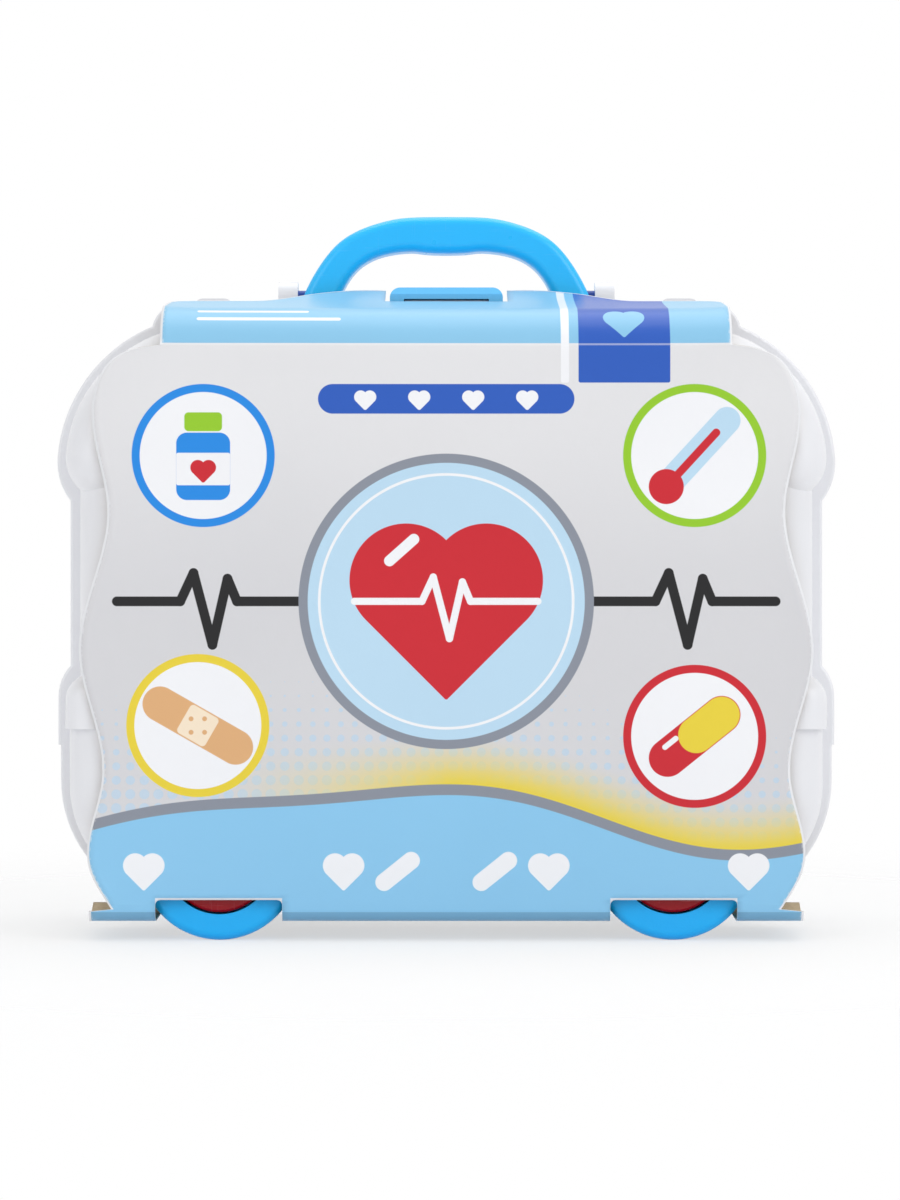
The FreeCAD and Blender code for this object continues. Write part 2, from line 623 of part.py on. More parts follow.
def wheel(x, side):
    """Moulded wheel: a tread ring, a web and a boss that runs on the axle."""
    outer = DEPTHS[side] - WHEEL_SETBACK
    inner = outer - WHEEL_WIDTH
    tread_inner = WHEEL_RADIUS - TREAD_WALL
    web_front = inner + WHEEL_WIDTH / 2
    section = [(tread_inner, inner), (WHEEL_RADIUS, inner), (WHEEL_RADIUS, outer), (tread_inner, outer)]
    tread = turned(section, x, side)
    rims = [edge for edge in tread.Edges if edge.BoundBox.XLength > 2 * WHEEL_RADIUS - TREAD_WALL]
    rims = [edge for edge in rims if edge.BoundBox.YLength < TOUCH]
    tread = tread.makeFillet(TREAD_ROUND, rims)
    web = disc(tread_inner + WALL / 2, x, WHEEL_RADIUS, side * (web_front - WEB_THICKNESS), side * web_front)
    boss_front = outer - HUB_CAP_WALL - AXLE_HEAD_HEIGHT - 2 * SEAT_GAP
    boss = disc(HUB_BOSS_RADIUS, x, WHEEL_RADIUS, side * inner, side * boss_front)
    bore_ends = (side * (inner - OVERSHOOT), side * (outer + OVERSHOOT))
    bore = disc(AXLE_RADIUS + RUNNING_CLEARANCE, x, WHEEL_RADIUS, *bore_ends)
    return joined([tread, web, boss]).cut(bore)


def hub_cap(x, side):
    """Domed cap with a skirt that sits on the wheel's web."""
    outer = DEPTHS[side] - WHEEL_SETBACK
    web_front = outer - WHEEL_WIDTH / 2
    skirt = HUB_CAP_RADIUS - HUB_CAP_WALL
    inside = outer - HUB_CAP_WALL
    profile = [(0, inside), (skirt, inside), (skirt, web_front), (HUB_CAP_RADIUS, web_front),
               (HUB_CAP_RADIUS, outer - HUB_CAP_WALL / 2), (HUB_CAP_RADIUS - HUB_CAP_WALL / 2, outer),
               (HUB_CAP_RADIUS / 2, outer + HUB_CAP_SHOULDER), (0, outer + HUB_CAP_DOME)]
    return turned(profile, x, side)


def axle(x, side):
    """Headed axle pin from the boss behind the well to the front of the wheel."""
    outer = DEPTHS[side] - WHEEL_SETBACK
    head_top = outer - HUB_CAP_WALL - SEAT_GAP
    head_under = head_top - AXLE_HEAD_HEIGHT
    tail = DEPTHS[side] - WELL_DEPTH - WALL - AXLE_BOSS_LENGTH
    shank = disc(AXLE_RADIUS, x, WHEEL_RADIUS, side * tail, side * head_top)
    head = disc(AXLE_HEAD_RADIUS, x, WHEEL_RADIUS, side * head_under, side * head_top)
    return shank.fuse(head).removeSplitter()


def heart(radius, y_from, y_to):
    """Heart-shaped bar along Y: a square on its corner with two round lobes."""
    offset = radius / math.sqrt(2)
    square = block((-radius, radius), (y_from, y_to), (HEART_Z - radius, HEART_Z + radius))
    square.rotate(point(0, 0, HEART_Z), AXIS_Y, 45)
    lobes = [disc(radius, sign * offset, HEART_Z + offset, y_from, y_to) for sign in (-1, 1)]
    return joined([square] + lobes)


def spoon_recess(sign):
    """Shallow bed for a toy spoon or spatula, its stem towards the side of the table."""
    y_range = (TABLE_Y - OVERSHOOT, TABLE_Y + SPOON_DEPTH)
    half = SPOON_STEM_WIDTH / 2
    x = sign * SPOON_SPREAD / 2
    z = TABLE_TOP - SPOON_DROP
    tip = sign * (TABLE_HALF - SPOON_TIP_INSET)
    bowl = disc(SPOON_BOWL_RADIUS, x, z, *y_range)
    stem = block((x, tip), y_range, (z - half, z + half))
    end = disc(half, tip, z, *y_range)
    return joined([bowl, stem, end])


def tool_tray():
    """Moulded tray that closes the base: flange, raised table, wells, slots and hinge ears."""
    inset = -RIM_PROUD - WALL - SEAT_GAP
    outlines = (lobe_outline, waist_outline, cap_outline, fender_outline)
    sheets = []
    for outline in outlines:
        wire, square_levels = outline(inset, TRAY_FLANGE_Y)
        sheets.append(Part.Face(wire).extrude(AXIS_Y * WALL))
    flange = joined(sheets)

    def table(shrink, y_from, y_to):
        half = TABLE_HALF - shrink
        round_off = TABLE_CORNER - shrink
        low = TABLE_BOTTOM + shrink
        high = TABLE_TOP - shrink
        places = [(-half, low), (half, low), (half, high), (-half, high)]
        corners = [(x, z, round_off) for x, z in places]
        return Part.Face(rounded_outline(corners, y_from)).extrude(AXIS_Y * (y_to - y_from))

    y_under = TRAY_FLANGE_Y + WALL
    raised = table(0, TABLE_Y, y_under)
    top_edges = [edge for edge in raised.Edges if all(abs(v.Y - TABLE_Y) < TOUCH for v in edge.Vertexes)]
    raised = raised.makeFillet(TABLE_ROUND, top_edges)
    tray = flange.fuse(raised).cut(table(WALL, TABLE_Y + WALL, y_under + OVERSHOOT))
    y_top = TABLE_Y + WALL / 2
    y_heart = TABLE_Y + HEART_DEPTH
    y_socket = TABLE_Y + SOCKET_DEPTH
    cups = [heart(HEART_RADIUS + WALL, y_top, y_heart + WALL),
            disc(SOCKET_RADIUS + WALL, SOCKET_X, SOCKET_Z, y_top, y_socket + WALL)]
    tray = tray.fuse(cups)
    y_above = TABLE_Y - OVERSHOOT
    cuts = [heart(HEART_RADIUS, y_above, y_heart),
            disc(SOCKET_RADIUS, SOCKET_X, SOCKET_Z, y_above, y_socket)]
    for x, z in SLOT_PLACES:
        half_length = SLOT_LENGTH / 2
        half_width = SLOT_WIDTH / 2
        y_range = (y_above, y_under)
        cuts.append(block((x - half_length, x + half_length), y_range, (z - half_width, z + half_width)))
    cuts += [spoon_recess(sign) for sign in (-1, 1)]
    hole_radius = SCREW_RADIUS + RUNNING_CLEARANCE
    hole_ends = (TRAY_FLANGE_Y - OVERSHOOT, y_under + OVERSHOOT)
    cuts += [disc(hole_radius, x, z, *hole_ends) for x, z in SCREW_PLACES]
    tray = tray.cut(cuts)
    for sign in (-1, 1):
        x = sign * WING_HINGE_X
        for end in (-1, 1):
            near = WING_Z + end * (WING_HEIGHT / 2 + SEAT_GAP)
            far = near + end * WING_EAR_LENGTH
            x_range = (x - WING_BARREL_RADIUS, x + WING_BARREL_RADIUS)
            post = block(x_range, (WING_Y, TRAY_FLANGE_Y + WALL / 2), (near, far))
            ear = post.fuse(rod(WING_BARREL_RADIUS, point(x, WING_Y, near), point(x, WING_Y, far)))
            tray = tray.fuse(ear)
            beyond = AXIS_Z * (end * OVERSHOOT)
            tray = tray.cut(rod(WING_PIN_RADIUS + RUNNING_CLEARANCE, point(x, WING_Y, near) - beyond,
                                point(x, WING_Y, far) + beyond))
    return tray.removeSplitter()


def tray_screws():
    screws = []
    for x, z in SCREW_PLACES:
        shank = disc(SCREW_RADIUS, x, z, TRAY_FLANGE_Y, TRAY_FLANGE_Y + WALL + SCREW_LENGTH - SIDE_GAP)
        head = disc(SCREW_HEAD_RADIUS, x, z, TRAY_FLANGE_Y - SCREW_HEAD_HEIGHT, TRAY_FLANGE_Y)
        screws.append(shank.fuse(head).removeSplitter())
    return Part.makeCompound(screws)


def wing(sign):
    """Half-round side tray, folded in over the tool tray with its open side towards it."""
    x_hinge = sign * WING_HINGE_X
    x_straight = sign * (WING_HINGE_X - WING_BARREL_RADIUS - SIDE_GAP)
    x_round = sign * (WING_HINGE_X - WING_REACH)

    def half_round(shrink, y_from, y_to):
        half = WING_HEIGHT / 2 - shrink
        side_x = x_straight - sign * shrink
        top = point(side_x, y_from, WING_Z + half)
        bottom = point(side_x, y_from, WING_Z - half)
        middle = point(x_round + sign * shrink, y_from, WING_Z)
        edges = [Part.Arc(bottom, middle, top).toShape(), Part.LineSegment(top, bottom).toShape()]
        return Part.Face(Part.Wire(Part.__sortEdges__(edges))).extrude(AXIS_Y * (y_to - y_from))

    y_floor = WING_Y - WING_DEPTH
    dish = half_round(0, y_floor, WING_Y).cut(half_round(WALL, y_floor + WALL, WING_Y + OVERSHOOT))
    low = point(x_hinge, WING_Y, WING_Z - WING_HEIGHT / 2)
    high = point(x_hinge, WING_Y, WING_Z + WING_HEIGHT / 2)
    arm = block((x_hinge, x_straight - sign * WALL), (WING_Y - WING_BARREL_RADIUS, WING_Y), (low.z, high.z))
    arm = arm.cut(half_round(WALL, y_floor + WALL, WING_Y + OVERSHOOT))
    solid = dish.fuse([rod(WING_BARREL_RADIUS, low, high), arm])
    return solid.cut(rod(WING_PIN_RADIUS + RUNNING_CLEARANCE, low - AXIS_Z, high + AXIS_Z)).removeSplitter()


def wing_pin(sign):
    half = WING_HEIGHT / 2 + SEAT_GAP + WING_EAR_LENGTH
    x = sign * WING_HINGE_X
    return rod(WING_PIN_RADIUS, point(x, WING_Y, WING_Z - half), point(x, WING_Y, WING_Z + half))


def lid_shelf():
    """Small shelf on the inside of the lid's waist, with a lip along its edge."""
    half = SHELF_WIDTH / 2
    y_wall = -(FRONT_DEPTH - WAIST_DROP - WALL)
    y_edge = y_wall + SHELF_REACH

    def rounded_tray(inset, z_low, z_high):
        tray = block((inset - half, half - inset), (y_wall + inset, y_edge - inset), (z_low, z_high))
        uprights = [edge for edge in tray.Edges if edge.BoundBox.ZLength > (z_high - z_low) / 2]
        outer_uprights = [edge for edge in uprights if edge.BoundBox.YMin > y_wall + SHELF_REACH / 2]
        return tray.makeFillet(SHELF_LIP - inset, outer_uprights)

    tray = rounded_tray(0, SHELF_Z, SHELF_Z + SHELF_LIP)
    pocket = rounded_tray(WALL, SHELF_Z + WALL, SHELF_Z + SHELF_LIP + OVERSHOOT)
    back = block((-half, half), (y_wall, y_wall + WALL), (SHELF_Z, SHELF_Z + SHELF_BACK_HEIGHT))
    return tray.cut(pocket).fuse(back).removeSplitter()


def lid_pegs():
    pegs = []
    y_wall = -(FRONT_DEPTH - WALL)
    for x, z in PEG_PLACES:
        y_end = y_wall + PEG_LENGTH
        stem = disc(PEG_RADIUS, x, z, y_wall, y_end)
        head = disc(PEG_HEAD_RADIUS, x, z, y_end - PEG_HEAD_HEIGHT, y_end)
        pegs.append(stem.fuse(head).removeSplitter())
    return Part.makeCompound(pegs)


def sleeve_section(offset):
    """Side view of the card's line, from the flap's rear edge down to the bottom flap's rear edge."""
    y_panel = -(FRONT_DEPTH + SLEEVE_GAP + offset)
    radius = SLEEVE_BEND + SLEEVE_GAP + offset
    angles = [math.radians(180 - FLAP_ANGLE * share) for share in (1, 0.5, 0)]
    bend = [point(0, BEND_Y + radius * math.cos(a), BEND_Z + radius * math.sin(a)) for a in angles]
    run = FLAP_REAR - bend[0].y
    rear = point(0, FLAP_REAR, bend[0].z + run / math.tan(math.radians(FLAP_ANGLE)))
    roll = SLEEVE_ROLL - BOARD + offset
    curl = []
    for angle in (0, math.pi / 4, math.pi / 2):
        curl.append(point(0, ROLL_Y - roll * math.cos(angle), PANEL_BOTTOM - roll * math.sin(angle)))
    tail = point(0, -RIM_DEPTH - SIDE_GAP, curl[2].z + BOTTOM_FLAP_RISE)
    edges = [Part.LineSegment(rear, bend[0]), Part.Arc(*bend), Part.LineSegment(bend[2], curl[0]),
             Part.Arc(*curl), Part.LineSegment(curl[2], tail)]
    return [edge.toShape() for edge in edges], rear, tail


def card_sleeve():
    """Printed card wrapped over the lid: top flap, front panel and bottom flap."""
    inner_edges, inner_rear, inner_tail = sleeve_section(0)
    outer_edges, outer_rear, outer_tail = sleeve_section(BOARD)
    ends = [Part.LineSegment(inner_rear, outer_rear).toShape(),
            Part.LineSegment(inner_tail, outer_tail).toShape()]
    section = Part.Face(Part.Wire(Part.__sortEdges__(inner_edges + outer_edges + ends)))
    half = CASE_HALF - BOTTOM_FLAP_INSET
    section.translate(AXIS_X * -half)
    wrapped = section.extrude(AXIS_X * (2 * half))

    y_front = -(FRONT_DEPTH + SLEEVE_GAP + BOARD + OVERSHOOT)
    panel_height = FOLD_Z - PANEL_BOTTOM
    right = []
    for inset, share in PANEL_EDGE:
        right.append(point(CASE_HALF - inset, y_front, PANEL_BOTTOM + share * panel_height))
    left = [point(-p.x, p.y, p.z) for p in reversed(right)]
    edges = []
    for side_points in (right, left):
        curve = Part.BSplineCurve()
        curve.interpolate(Points=side_points)
        edges.append(curve.toShape())
    edges.append(Part.LineSegment(right[-1], left[0]).toShape())
    edges.append(Part.LineSegment(left[-1], right[0]).toShape())
    through = AXIS_Y * (FLAP_REAR + OVERSHOOT - y_front)
    panel_area = Part.Face(Part.Wire(Part.__sortEdges__(edges))).extrude(through)

    flap_half = CASE_HALF - FLAP_INSET
    flap_low = FOLD_Z - OVERSHOOT
    flap_top = outer_rear.z + FLAP_BOW
    shoulder = outer_rear.z - FLAP_BOW
    flap_corners = [(-flap_half, flap_low, 0), (flap_half, flap_low, 0), (flap_half, shoulder, FLAP_CORNER),
                    (0, flap_top, 0), (-flap_half, shoulder, FLAP_CORNER)]
    flap_area = Part.Face(rounded_outline(flap_corners, y_front)).extrude(through)
    tuck_area = block((-half, half), (ROLL_Y, 0), (0, PANEL_BOTTOM + BOTTOM_FLAP_RISE))
    roll_area = block((-right[0].x, right[0].x), (y_front, 0), (0, PANEL_BOTTOM))
    sleeve = wrapped.common(joined([panel_area, flap_area, roll_area, tuck_area]))

    notch_half = LATCH_WIDTH / 2 + LATCH_NOTCH_CLEARANCE
    y_range = (y_front, FLAP_REAR + OVERSHOOT)
    cuts = [block((-notch_half, notch_half), y_range, (DECK_TOP - LATCH_NOTCH_DROP, flap_top + OVERSHOOT))]
    for x in WHEEL_PLACES:
        x_range = (x - WHEEL_NOTCH_WIDTH / 2, x + WHEEL_NOTCH_WIDTH / 2)
        cuts.append(block(x_range, y_range, (0, PANEL_BOTTOM + WHEEL_NOTCH_RISE)))
    return sleeve.cut(cuts).removeSplitter()


def write(name, shape):
    shape.exportStep("parts/" + name + ".step")


os.makedirs("parts", exist_ok=True)
write("front_shell", front_shell())
write("rear_shell", rear_shell())
write("tool_tray", tool_tray())
write("tray_screws", tray_screws())
write("lid_shelf", lid_shelf())
write("lid_pegs", lid_pegs())
write("latch", latch())
write("latch_pin", latch_pin())
write("handle", handle())
write("card_sleeve", card_sleeve())
for side_name, side_sign in (("left", -1), ("right", 1)):
    write("strap_loop_" + side_name, strap_loop(side_sign * (CASE_HALF - LOOP_INSET)))
    write("handle_pin_" + side_name, handle_pin(side_sign))
    write("lid_hinge_pin_" + side_name, lid_hinge_pin(side_sign * HINGE_SPREAD / 2))
    write("wing_" + side_name, wing(side_sign))
    write("wing_pin_" + side_name, wing_pin(side_sign))
    for end_name, end_side in (("front", FRONT), ("rear", REAR)):
        place = end_name + "_" + side_name
        wheel_x = side_sign * WHEEL_PLACES[1]
        write("wheel_" + place, wheel(wheel_x, end_side))
        write("hub_cap_" + place, hub_cap(wheel_x, end_side))
        write("axle_" + place, axle(wheel_x, end_side))
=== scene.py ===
import math

import bpy
import numpy as np
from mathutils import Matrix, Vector


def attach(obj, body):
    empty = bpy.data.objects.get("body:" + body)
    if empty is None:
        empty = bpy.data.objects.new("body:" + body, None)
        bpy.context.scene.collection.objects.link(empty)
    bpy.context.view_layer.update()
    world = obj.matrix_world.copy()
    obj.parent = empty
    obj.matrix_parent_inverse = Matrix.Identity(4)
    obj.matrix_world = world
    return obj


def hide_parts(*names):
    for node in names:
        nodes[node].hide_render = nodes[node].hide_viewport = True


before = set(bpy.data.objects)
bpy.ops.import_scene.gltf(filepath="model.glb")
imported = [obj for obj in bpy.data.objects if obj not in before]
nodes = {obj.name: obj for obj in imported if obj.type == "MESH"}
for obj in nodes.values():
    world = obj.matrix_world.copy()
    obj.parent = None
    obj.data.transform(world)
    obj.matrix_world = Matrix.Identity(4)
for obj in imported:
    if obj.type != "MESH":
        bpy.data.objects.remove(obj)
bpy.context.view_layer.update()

# Rear shell and strap loops: the base of the case is a thin shell of white polypropylene, moulded in one
# shot with its rim, wheel wells and handle lugs. The loops are welded on. The mould is sand-blasted, so the
# white is satin with a fine grain.


def screen(red, green, blue):
    """A screen colour of 0 to 255 as the linear colour that a shader works in: the sRGB curve undone."""
    share = np.array([red, green, blue]) / 255
    curve = np.where(share <= 0.04045, share / 12.92, ((share + 0.055) / 1.055) ** 2.4)
    return (*curve.tolist(), 1.0)


class Thread:
    """A shader socket in an expression. Each operator on it adds one Math node."""

    def __init__(self, weave, socket):
        self.weave = weave
        self.socket = socket

    def math(self, operation, first, second):
        return self.weave.node("ShaderNodeMath", {"operation": operation}, {0: first, 1: second})

    def __add__(self, other):
        return self.math("ADD", self, other)

    def __radd__(self, other):
        return self.math("ADD", other, self)

    def __sub__(self, other):
        return self.math("SUBTRACT", self, other)

    def __rsub__(self, other):
        return self.math("SUBTRACT", other, self)

    def __mul__(self, other):
        return self.math("MULTIPLY", self, other)

    def __rmul__(self, other):
        return self.math("MULTIPLY", other, self)

    def __abs__(self):
        return self.math("ABSOLUTE", self, 0.0)

    def largest(self, other):
        return self.math("MAXIMUM", self, other)


class Weave:
    """A node tree in the making."""

    def __init__(self, tree):
        self.tree = tree

    def feed(self, node, sockets):
        for key, value in sockets.items():
            if isinstance(value, Thread):
                self.tree.links.new(value.socket, node.inputs[key])
            else:
                node.inputs[key].default_value = value

    def node(self, kind, settings, sockets, output=0):
        """Adds a node of this type, sets its settings, then the values or links of its sockets."""
        made = self.tree.nodes.new(kind)
        for key, value in settings.items():
            setattr(made, key, value)
        self.feed(made, sockets)
        return Thread(self, made.outputs[output])

    def place(self):
        return self.node("ShaderNodeTexCoord", {}, {}, "Object")

    def stretched(self, scale, turn):
        return self.node("ShaderNodeMapping", {}, {"Vector": self.place(), "Scale": scale, "Rotation": turn})

    def noise(self, place, scale, detail):
        return self.node("ShaderNodeTexNoise", {}, {"Vector": place, "Scale": scale, "Detail": detail})

    def above(self, value, level, sharpness):
        """0 below the level, 1 above it, with a ramp of 1/sharpness between."""
        settings = {"operation": "MULTIPLY_ADD", "use_clamp": True}
        return self.node("ShaderNodeMath", settings, {0: value, 1: sharpness, 2: 0.5 - level * sharpness})

    def slope(self, value, start, end):
        """0 before the start, 1 past the end, on a smooth S between."""
        settings = {"interpolation_type": "SMOOTHSTEP"}
        return self.node("ShaderNodeMapRange", settings, {"Value": value, "From Min": start, "From Max": end})

    def mix(self, mask, first, second, blend="MIX"):
        """The first colour where the mask is 0, the second, or its blend with the first, where it is 1."""
        settings = {"data_type": "RGBA", "blend_type": blend}
        return self.node("ShaderNodeMix", settings, {0: mask, 6: first, 7: second}, 2)

    def bump(self, height, depth, strength):
        return self.node("ShaderNodeBump", {}, {"Height": height, "Distance": depth, "Strength": strength})


class Finish(Weave):
    """A material in the making, with the numbers that are the same all over set on its shader."""

    def __init__(self, name, fixed):
        self.material = bpy.data.materials.new(name)
        self.material.use_nodes = True
        super().__init__(self.material.node_tree)
        self.shader = self.tree.nodes["Principled BSDF"]
        self.feed(self.shader, fixed)


def moulded(name, colour, gloss, grain, fixed):
    """Moulded plastic: the tone drifts by slow noise, fine noise is the mould's grain, and stretched noise
    above a level gives hairline rubs that are duller and a little paler."""
    finish = Finish(name, {"IOR": 1.49, **fixed})
    place = finish.place()
    drift = finish.noise(place, 14.0, 3.0)
    cloud = finish.noise(place, 90.0, 4.0)
    fine = finish.noise(place, 1900.0, 2.0)
    upright = finish.noise(finish.stretched((60, 60, 2100), (0.5, 0.8, 0.1)), 1.0, 2.0)
    sideways = finish.noise(finish.stretched((2300, 70, 70), (0.2, 0.3, 0.9)), 1.0, 2.0)
    rubs = finish.above(upright, 0.69, 14) + finish.above(sideways, 0.70, 14)
    deep = (*(0.86 * c for c in colour[:3]), 1.0)
    pale = (*(0.82 * c + 0.16 for c in colour[:3]), 1.0)
    tone = finish.mix(drift * 0.35, colour, deep)
    tone = finish.mix(rubs * 0.2, tone, pale)
    rough = gloss - 0.05 + cloud * 0.10 + rubs * 0.12
    relief = finish.bump(fine + cloud * 0.6, 0.0002, grain)
    finish.feed(finish.shader, {"Base Color": tone, "Roughness": rough, "Normal": relief})
    return finish.material


def dress(material, *names):
    """Puts a material on CAD nodes, in their own material slots."""
    for name in names:
        for slot in nodes[name].material_slots:
            slot.material = material


white_shell = moulded("white_shell", screen(234, 235, 239), 0.34, 0.10,
                      {"Coat Weight": 0.15, "Coat Roughness": 0.18, "Subsurface Weight": 0.06,
                       "Subsurface Radius": (0.004, 0.004, 0.004), "Subsurface Scale": 1.0})
dress(white_shell, "rear_shell", "strap_loop_left", "strap_loop_right")

# Tool tray, side trays and their fixings: sky-blue polypropylene trays, moulded a little glossier than the
# shell. Plated screws hold the tool tray to the base, and bright steel pins carry the side trays.

tray_blue = moulded("tray_blue", screen(28, 140, 230), 0.27, 0.04,
                    {"Specular IOR Level": 0.4, "Coat Weight": 0.15, "Coat Roughness": 0.12})
dress(tray_blue, "tool_tray", "wing_left", "wing_right")


def drawn_steel(name, colour):
    """Plated steel wire: noise drawn out along the surface gives the streaks, and slow noise dulls it."""
    finish = Finish(name, {"Metallic": 1.0})
    streak = finish.noise(finish.stretched((3200, 3200, 260), (0, 0, 0)), 1.0, 2.0)
    dull = finish.noise(finish.place(), 240.0, 4.0)
    tone = finish.mix(dull * 0.5, colour, (*(0.6 * c for c in colour[:3]), 1.0))
    relief = finish.bump(streak, 0.0001, 0.3)
    finish.feed(finish.shader, {"Base Color": tone, "Roughness": 0.2 + dull * 0.25, "Normal": relief})
    return finish.material


bright_steel = drawn_steel("bright_steel", screen(200, 202, 206))
dress(bright_steel, "tray_screws", "wing_pin_left", "wing_pin_right")

# Lid, with its shelf and pegs: the front half of the case is the same white moulding, hung on two steel pins
# under the rim. Inside, a small blue shelf and four blue pegs stand on its wall.

dress(white_shell, "front_shell")
dress(tray_blue, "lid_shelf", "lid_pegs")
dress(bright_steel, "lid_hinge_pin_left", "lid_hinge_pin_right")

# Wheels, hub caps and axles: solid blue wheels turn on headed steel axles. Their treads are scuffed where
# they roll, and a red cap is pressed into each.

WHEEL_X, WHEEL_Z, TREAD_RADIUS = 0.0843, 0.030, 0.030
WORN_DEPTH, WORN_SHARPNESS = 0.0004, 2500
wheel = Finish("wheel_blue", {"IOR": 1.49, "Specular IOR Level": 0.35,
                              "Coat Weight": 0.05, "Coat Roughness": 0.2})
wheel_place = wheel.place()
folded = wheel.node("ShaderNodeVectorMath", {"operation": "ABSOLUTE"}, {0: wheel_place})
flat = wheel.node("ShaderNodeVectorMath", {"operation": "MULTIPLY"}, {0: folded, 1: (1, 0, 1)})
radius = wheel.node("ShaderNodeVectorMath", {"operation": "DISTANCE"},
                    {0: flat, 1: (WHEEL_X, 0, WHEEL_Z)}, "Value")
worn = wheel.above(radius, TREAD_RADIUS - WORN_DEPTH, WORN_SHARPNESS) * wheel.noise(wheel_place, 160.0, 5.0)
grit = wheel.noise(wheel_place, 1500.0, 3.0)
wheel_drift = wheel.noise(wheel_place, 18.0, 3.0)
wheel_tone = wheel.mix(wheel_drift * 0.4, screen(24, 186, 255), screen(18, 162, 244))
wheel_tone = wheel.mix(worn * 0.4, wheel_tone, screen(120, 170, 205))
wheel.feed(wheel.shader, {"Base Color": wheel_tone, "Roughness": 0.3 + worn * 0.35 + grit * 0.06,
                          "Normal": wheel.bump(grit + worn * 2.0, 0.0002, 0.25)})
hub_red = moulded("hub_red", screen(158, 8, 22), 0.24, 0.06,
                  {"Specular IOR Level": 0.3, "Coat Roughness": 0.1})
for place_name in ("front_left", "front_right", "rear_left", "rear_right"):
    dress(wheel.material, "wheel_" + place_name)
    dress(hub_red, "hub_cap_" + place_name)
    dress(bright_steel, "axle_" + place_name)

# Latch: a blue moulded plate on a steel pin. It crosses the parting line at the top of the case and hooks
# behind the rim of the base.

latch_blue = moulded("latch_blue", screen(106, 200, 255), 0.3, 0.10,
                     {"Specular IOR Level": 0.4, "Coat Weight": 0.1, "Coat Roughness": 0.15})
dress(latch_blue, "latch")
dress(bright_steel, "latch_pin")

# Carry handle: a thick arched grip in bright blue, moulded with a soft gloss. It swings on two dark blue pins
# between the lugs of the base.

handle_blue = moulded("handle_blue", screen(30, 192, 255), 0.29, 0.10,
                      {"Specular IOR Level": 0.4, "Coat Weight": 0.1, "Coat Roughness": 0.14})
pin_blue = moulded("pin_blue", screen(20, 70, 160), 0.35, 0.10, {})
dress(handle_blue, "handle")
dress(pin_blue, "handle_pin_left", "handle_pin_right")

# Card sleeve: folding-box board of 0.6 mm wrapped over the lid, with a top flap notched for the latch, the
# front panel, and a bottom flap notched for the wheels. It is printed and varnished outside, and raw inside.

BOARD = 0.6
PANEL_Y = -60.7
PANEL_LOW, PANEL_HIGH = 12.0, 218.0
ROLL_RADIUS, BEND_RADIUS, FLAP_ANGLE = 4.3, 17.7, math.radians(80)
TAIL_LENGTH, TAIL_RISE = 51.9, 2.0
TAIL_TILT = math.atan2(TAIL_RISE, TAIL_LENGTH)
ROLL_END = PANEL_LOW - ROLL_RADIUS * math.pi / 2
BEND_END = PANEL_HIGH + BEND_RADIUS * FLAP_ANGLE
TAIL_END = ROLL_END - TAIL_LENGTH
FLAP_END = BEND_END + 51.8
LATCH_NOTCH_HALF, LATCH_NOTCH_START = 23.5, BEND_END + 28.0
WHEEL_NOTCH_TOP, NOTCH_CORNER = 15.4, 1.8
WHEEL_NOTCH = (60.8, 107.8)
BOTTOM_FLAP_HALF, BOTTOM_FLAP_FLARE = 132.4, 4.0
FLAP_HALF, FLAP_CORNER = 106.0, 9.0
FLAP_FALL, FALL_START, FALL_WIDTH = 12.5, 50.0, 22.0
FLAP_SAG, SAG_START, SAG_WIDTH, SAG_RUN = 1.6, 40.0, 35.0, 40.0
WAVE_LIFT, WAVE_ACROSS, WAVE_ALONG, WAVE_SHIFT = 0.18, 39.0, 47.0, 0.7
EDGE_LIFT, EDGE_REACH = 0.7, 7.0
CURL_LIFT, CURL_PLACE, CURL_WIDTH = 1.5, 30.0, 20.0
TAIL_ROWS, ROLL_ROWS, BEND_ROWS, FLAP_ROWS, REAR_ROWS = 14, 8, 11, 9, 12
COLUMNS = (6, 12, 10, 12, 10, 12, 6)
EDGE_STEP, TAIL_JOINT, ROW_SLACK = 3.0, 0.3, 0.01
NOTCH_CORNER_SHARES = (1.0, 0.6, 0.3, 0.1)
PANEL_EDGE = [(124.0, PANEL_LOW), (126.2, WHEEL_NOTCH_TOP), (132.5, 28.0), (127.5, 60.0), (136.0, 107.0),
              (125.5, 160.0), (131.0, 200.0), (124.0, 215.5), (FLAP_HALF, 221.0)]


def spline(knots, step):
    """Natural cubic curve through the knots with chord length as its parameter, sampled at each knot and
    about every step between: per span, a*p + b*q + ((a^3-a)*m + (b^3-b)*n)*h^2/6 with second derivatives
    m and n."""
    knots = np.array(knots)
    spans = np.linalg.norm(np.diff(knots, axis=0), axis=1)
    slopes = np.diff(knots, axis=0) / spans[:, None]
    inner = np.arange(1, len(knots) - 1)
    system = np.eye(len(knots))
    system[inner, inner - 1] = spans[:-1]
    system[inner, inner] = 2 * (spans[:-1] + spans[1:])
    system[inner, inner + 1] = spans[1:]
    sides = np.zeros_like(knots)
    sides[inner] = 6 * np.diff(slopes, axis=0)
    curving = np.linalg.solve(system, sides)
    counts = np.ceil(spans / step).astype(int)
    span = np.repeat(np.arange(len(spans)), counts)
    share = (np.arange(counts.sum()) - np.repeat(np.cumsum(counts) - counts, counts)) / counts[span]
    span = np.append(span, len(spans) - 1)
    b = np.append(share, 1.0)[:, None]
    a = 1 - b
    bend = ((a**3 - a) * curving[span] + (b**3 - b) * curving[span + 1]) * spans[span][:, None] ** 2 / 6
    return a * knots[span] + b * knots[span + 1] + bend


